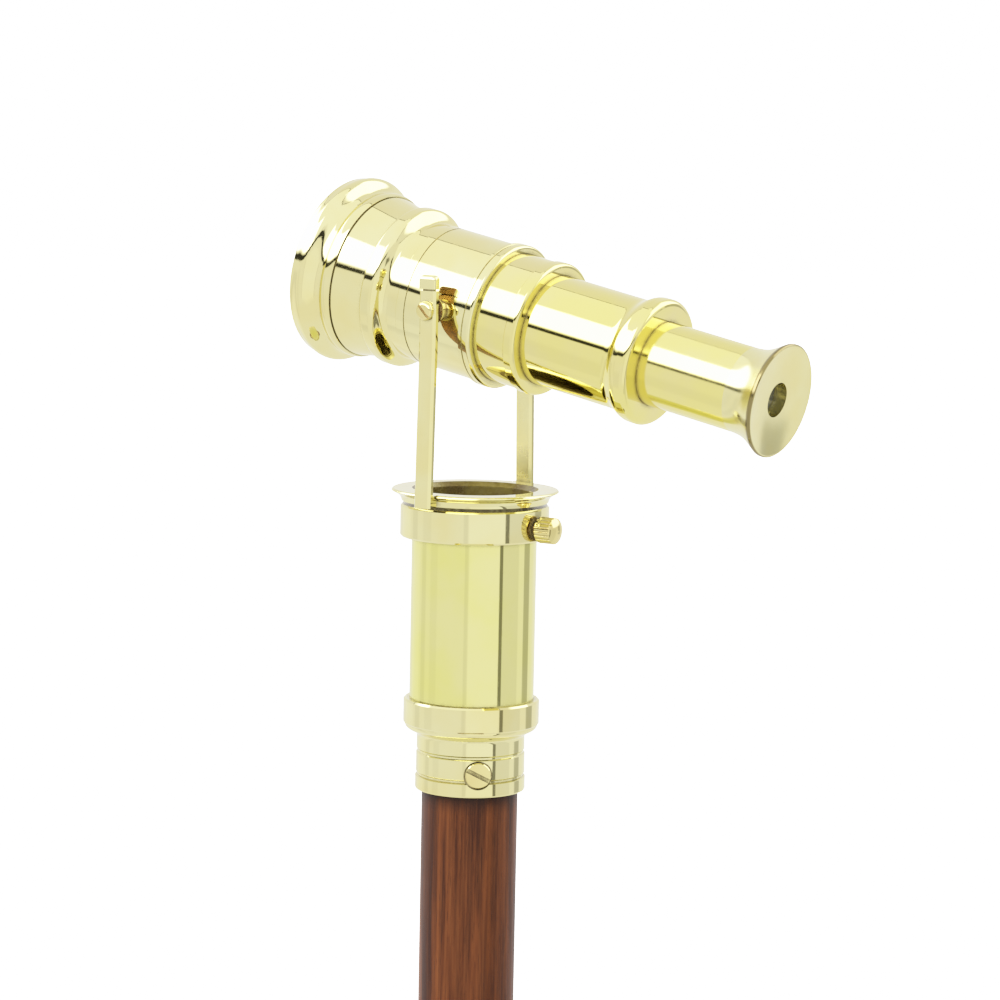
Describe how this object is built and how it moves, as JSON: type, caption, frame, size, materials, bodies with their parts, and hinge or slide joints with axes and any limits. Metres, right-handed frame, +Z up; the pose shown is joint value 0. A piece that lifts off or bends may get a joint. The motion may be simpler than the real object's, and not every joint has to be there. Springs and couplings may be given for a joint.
{
  "type": "brass telescope",
  "caption": "Brass draw telescope tilting in a swivelling yoke, clamped by a thumbscrew to the tube on the wooden top section of a take-apart walking stick.",
  "frame": {"origin": "centre of the mouth of the threaded hole at the stick section's lower end", "axes": "+Z up the stick; +X towards the eyepiece and the thumbscrew; +Y towards the telescope's right side"},
  "size_m": [0.1229, 0.0438, 0.3105],
  "materials": {
    "polished_brass": "mirror polished, lacquered",
    "drawn_brass": "drawn tube, polished",
    "handle_brass": "mirror polished, with faint vertical buffing",
    "screw_brass": "turned, lightly tarnished",
    "blackened_brass": "matt black inside the optics",
    "lens_glass": "polished optical glass",
    "rosewood": "satin varnish"
  },
  "bodies": {
    "stick": {"wooden_shaft": "rosewood", "joint_ferrule": "handle_brass", "joint_insert": "handle_brass", "shaft_socket": "handle_brass", "socket_screw": "screw_brass", "handle_tube": "handle_brass", "tube_band": "handle_brass", "clamp_collar": "polished_brass"},
    "thumbscrew": {"thumbscrew": "screw_brass"},
    "yoke": {"yoke_ring": "polished_brass", "yoke_sleeve": "polished_brass", "yoke_arm_left": "polished_brass", "yoke_arm_right": "polished_brass", "arm_cap_left": "polished_brass", "arm_cap_right": "polished_brass"},
    "barrel": {"objective_bell": "polished_brass", "objective_cell": "blackened_brass", "objective_retainer": "blackened_brass", "crown_lens": "lens_glass", "flint_lens": "lens_glass", "barrel_shoulder": "polished_brass", "main_barrel": "polished_brass", "barrel_end_ring": "polished_brass", "pivot_boss_left": "screw_brass", "pivot_boss_right": "screw_brass", "pivot_washer_left": "screw_brass", "pivot_washer_right": "screw_brass", "pivot_screw_left": "screw_brass", "pivot_screw_right": "screw_brass"},
    "draw_1": {"draw_tube_1": "drawn_brass", "draw_1_stop_ring": "blackened_brass", "draw_1_end_ring": "drawn_brass"},
    "draw_2": {"draw_tube_2": "drawn_brass", "draw_2_stop_ring": "blackened_brass", "draw_2_end_ring": "drawn_brass"},
    "eyepiece": {"eye_tube": "drawn_brass", "eye_stop_ring": "blackened_brass", "eye_cup": "drawn_brass", "eye_lens": "lens_glass", "field_lens": "lens_glass", "erector_tube": "blackened_brass", "erector_lens_front": "lens_glass", "erector_lens_rear": "lens_glass"}
  },
  "joints": [
    {"name": "yoke_swivel", "type": "hinge", "parent": "stick", "child": "yoke", "pos_m": [0, 0, 0.241], "axis": [0, 0, 1], "continuous": true},
    {"name": "scope_tilt", "type": "hinge", "parent": "yoke", "child": "barrel", "pos_m": [0, 0, 0.2822], "axis": [0, -1, 0], "range_deg": [-32, 70]},
    {"name": "draw_1_slide", "type": "slide", "parent": "barrel", "child": "draw_1", "axis": [0.9796, 0, -0.2011], "range_m": [-0.008, 0]},
    {"name": "draw_2_slide", "type": "slide", "parent": "draw_1", "child": "draw_2", "axis": [0.9796, 0, -0.2011], "range_m": [-0.0213, 0]},
    {"name": "eyepiece_slide", "type": "slide", "parent": "draw_2", "child": "eyepiece", "axis": [0.9796, 0, -0.2011], "range_m": [-0.0223, 0]},
    {"name": "thumbscrew_turn", "type": "hinge", "parent": "stick", "child": "thumbscrew", "pos_m": [0.0204, 0, 0.233], "axis": [1, 0, 0], "range_deg": [0, 360]}
  ]
}
